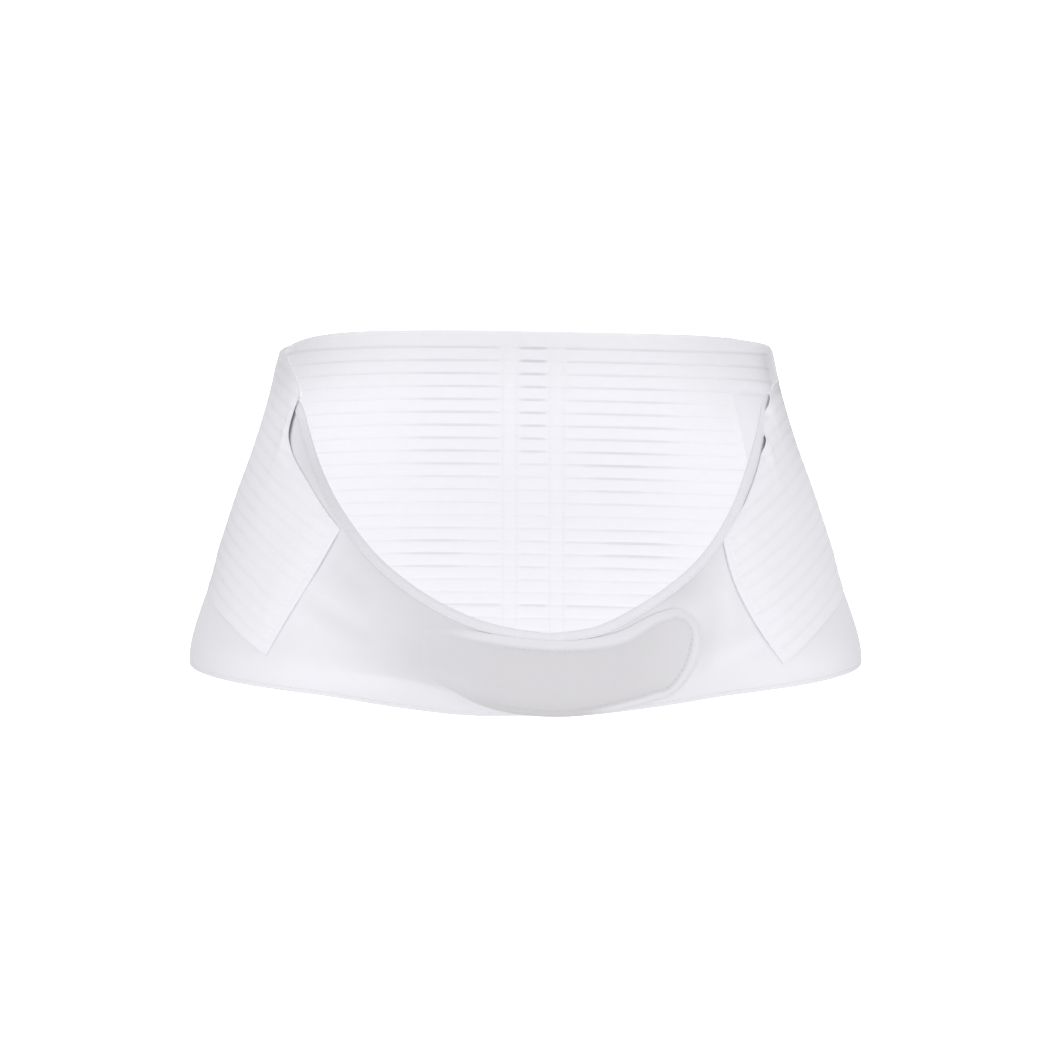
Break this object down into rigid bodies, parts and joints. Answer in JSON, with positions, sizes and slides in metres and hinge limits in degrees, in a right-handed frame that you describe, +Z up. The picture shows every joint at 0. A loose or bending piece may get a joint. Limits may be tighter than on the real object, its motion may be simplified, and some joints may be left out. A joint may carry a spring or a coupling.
{
  "type": "maternity belt",
  "caption": "White maternity support belt in its worn form: ribbed elastic back, smooth hip wings with a low front scoop, a lapped front tab and ribbed side straps.",
  "frame": {"origin": "centre of the hollow, level with the lower edge at the sides of the hips", "axes": "+X to the viewer's right, the closed front faces -Y, +Z up along the wearer's body"},
  "size_m": [0.3682, 0.2707, 0.1989],
  "materials": {
    "ribbed_elastic": "matt ribbed elastic knit with sheer lines between the ribs",
    "plush": "matt brushed loop plush",
    "binding": "soft satin elastic binding",
    "tab_plush": "matt brushed plush, slightly greyer",
    "casing_tape": "smooth woven tape"
  },
  "bodies": {
    "root": {"back_panel": "ribbed_elastic", "strap_left": "ribbed_elastic", "strap_right": "ribbed_elastic", "stay_left": "casing_tape", "stay_right": "casing_tape", "wing_left": "plush", "wing_right": "plush", "scoop_binding_left": "binding", "scoop_binding_right": "binding", "closure_tab": "tab_plush"}
  },
  "joints": []
}
